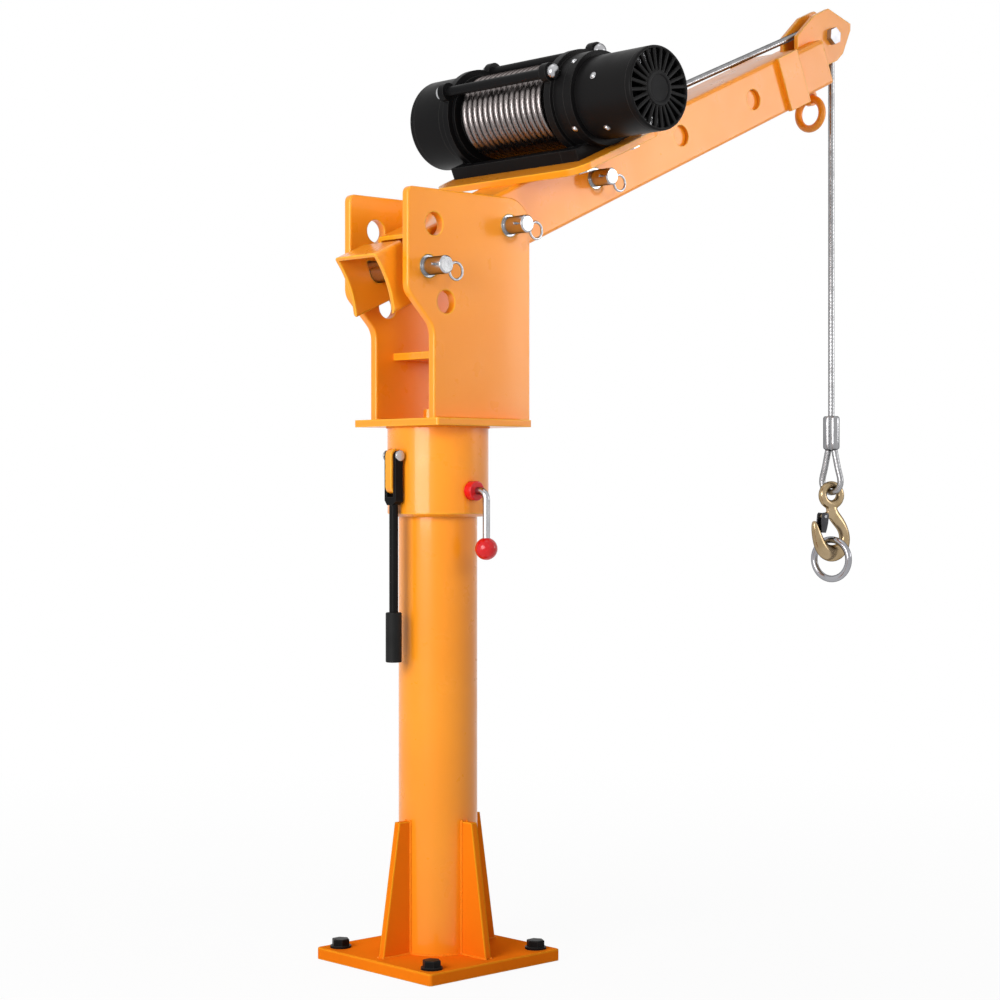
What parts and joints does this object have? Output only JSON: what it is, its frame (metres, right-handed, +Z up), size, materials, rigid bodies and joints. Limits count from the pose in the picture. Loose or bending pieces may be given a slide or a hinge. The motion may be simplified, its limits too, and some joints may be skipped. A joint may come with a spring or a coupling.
{
  "type": "pickup truck crane",
  "caption": "Bolt-down swivel hoist crane: post on a foot plate, turning head, pinned telescopic boom with an electric winch, wire rope, sheave and latched hook with ring.",
  "frame": {"origin": "centre of the foot plate's underside, in the middle of the four deck bolts", "axes": "+Z up along the post, +X the way the boom points, +Y to the left of the boom (gear case side)"},
  "size_m": [0.8615, 0.363, 1.2124],
  "materials": {
    "orange_paint": "gloss",
    "black_paint": "satin",
    "bright_steel": "satin",
    "wire_rope": "satin",
    "pressed_aluminium": "satin",
    "chrome": "polished",
    "gold_plate": "satin",
    "grey_steel": "satin",
    "red_plastic": "gloss",
    "black_rubber": "matte",
    "nylon": "matte"
  },
  "bodies": {
    "stand": {"base_plate": "orange_paint", "column_tube": "orange_paint", "column_gussets": "orange_paint", "anchor_bolts": "black_paint", "column_cap": "orange_paint", "thrust_washer": "gold_plate"},
    "head": {"slew_sleeve": "orange_paint", "sleeve_bushes": "nylon", "head_plate": "orange_paint", "right_cheek": "orange_paint", "left_cheek": "orange_paint", "head_cross_plate": "orange_paint", "king_bolt": "orange_paint", "king_nut": "bright_steel", "pivot_pin": "bright_steel", "pivot_pin_ring": "bright_steel", "lock_pin": "bright_steel", "lock_pin_ring": "bright_steel", "handle_lug": "orange_paint", "handle_pin": "bright_steel", "lock_boss": "red_plastic"},
    "slew_handle": {"handle_rod": "black_paint", "handle_grip": "black_rubber"},
    "slew_lock": {"lock_lever": "bright_steel", "lock_knob": "red_plastic"},
    "boom": {"boom_tube": "orange_paint", "boom_pivot_tube": "orange_paint", "mouth_doublers": "orange_paint", "extension_pin": "bright_steel", "extension_pin_ring": "bright_steel", "winch_plate": "orange_paint", "winch_bolts": "bright_steel", "gear_bracket": "black_paint", "motor_bracket": "black_paint", "tie_rods": "black_paint", "gearbox_housing": "black_paint", "gearbox_cover": "black_paint", "motor_flange": "black_paint", "motor_can": "black_paint", "motor_stator": "bright_steel", "motor_grille": "black_paint", "rope_run": "wire_rope"},
    "drum": {"drum_barrel": "black_paint", "drum_shaft": "black_paint", "rope_winding_far": "wire_rope", "rope_winding_near": "wire_rope"},
    "jib": {"jib_tube": "orange_paint", "sheave_plates": "orange_paint", "sheave_axle": "bright_steel", "ring_lug": "orange_paint", "rope_over_sheave": "wire_rope"},
    "sheave": {"sheave": "bright_steel"},
    "tie_ring": {"tie_ring": "orange_paint"},
    "fall": {"rope_fall": "wire_rope"},
    "rope_end": {"rope_ferrule": "pressed_aluminium", "rope_eye": "wire_rope"},
    "hook": {"hook_body": "gold_plate", "latch_pin": "bright_steel"},
    "latch": {"hook_latch": "grey_steel"},
    "load_ring": {"load_ring": "chrome"}
  },
  "joints": [
    {"name": "slew", "type": "hinge", "parent": "stand", "child": "head", "pos_m": [0, 0, 0], "axis": [0, 0, 1], "continuous": true},
    {"name": "luff", "type": "hinge", "parent": "head", "child": "boom", "pos_m": [0.06, 0, 0.83], "axis": [0, -1, 0], "range_deg": [0, 19.6], "deforming": ["rope_over_sheave"]},
    {"name": "extend", "type": "slide", "parent": "boom", "child": "jib", "axis": [0.9135, 0, 0.4067], "range_m": [0, 0.3], "deforming": ["rope_run"]},
    {"name": "drum_spin", "type": "hinge", "parent": "boom", "child": "drum", "pos_m": [0.14763, 0, 0.97738], "axis": [0, 1, 0], "range_deg": [-473, 398], "deforming": ["rope_run", "rope_fall"]},
    {"name": "sheave_spin", "type": "hinge", "parent": "jib", "child": "sheave", "pos_m": [0.69096, 0, 1.13829], "axis": [0, 1, 0], "range_deg": [-1020, 1212]},
    {"name": "fall_plumb", "type": "hinge", "parent": "jib", "child": "fall", "pos_m": [0.69096, 0, 1.13829], "axis": [0, -1, 0], "range_deg": [-19.6, 0], "deforming": ["rope_over_sheave"]},
    {"name": "tie_ring_swing", "type": "hinge", "parent": "jib", "child": "tie_ring", "pos_m": [0.66411, 0, 1.05308], "axis": [0, -1, 0], "range_deg": [-19.6, 0]},
    {"name": "hoist", "type": "slide", "parent": "fall", "child": "rope_end", "axis": [0, 0, 1], "range_m": [-0.38, 0.32], "deforming": ["rope_fall"]},
    {"name": "hook_swing", "type": "hinge", "parent": "rope_end", "child": "hook", "pos_m": [0.70896, 0, 0.52714], "axis": [0.1392, -0.9903, 0], "range_deg": [-25, 25]},
    {"name": "latch_turn", "type": "hinge", "parent": "hook", "child": "latch", "pos_m": [0.69544, 0.00362, 0.49449], "axis": [-0.2588, -0.9659, 0], "range_deg": [0, 25], "stiffness_Nm_per_rad": 0.01, "springref_deg": -28.65},
    {"name": "load_ring_swing", "type": "hinge", "parent": "hook", "child": "load_ring", "pos_m": [0.70896, 0, 0.46319], "axis": [0.1392, -0.9903, 0], "range_deg": [-25, 25]},
    {"name": "handle_swing", "type": "hinge", "parent": "head", "child": "slew_handle", "pos_m": [-0.06565, 0, 0.569], "axis": [0, 1, 0], "range_deg": [0, 95]},
    {"name": "lock_lever_turn", "type": "hinge", "parent": "head", "child": "slew_lock", "pos_m": [0, -0.07, 0.53], "axis": [0, -1, 0], "range_deg": [-90, 90]}
  ],
  "couplings": [
    {"joint": "fall_plumb", "follows": "luff", "ratio": -1},
    {"joint": "tie_ring_swing", "follows": "luff", "ratio": -1},
    {"joint": "hoist", "follows": "drum_spin", "m_per_rad": 0.046},
    {"joint": "sheave_spin", "follows": "drum_spin", "ratio": -2.5556}
  ]
}
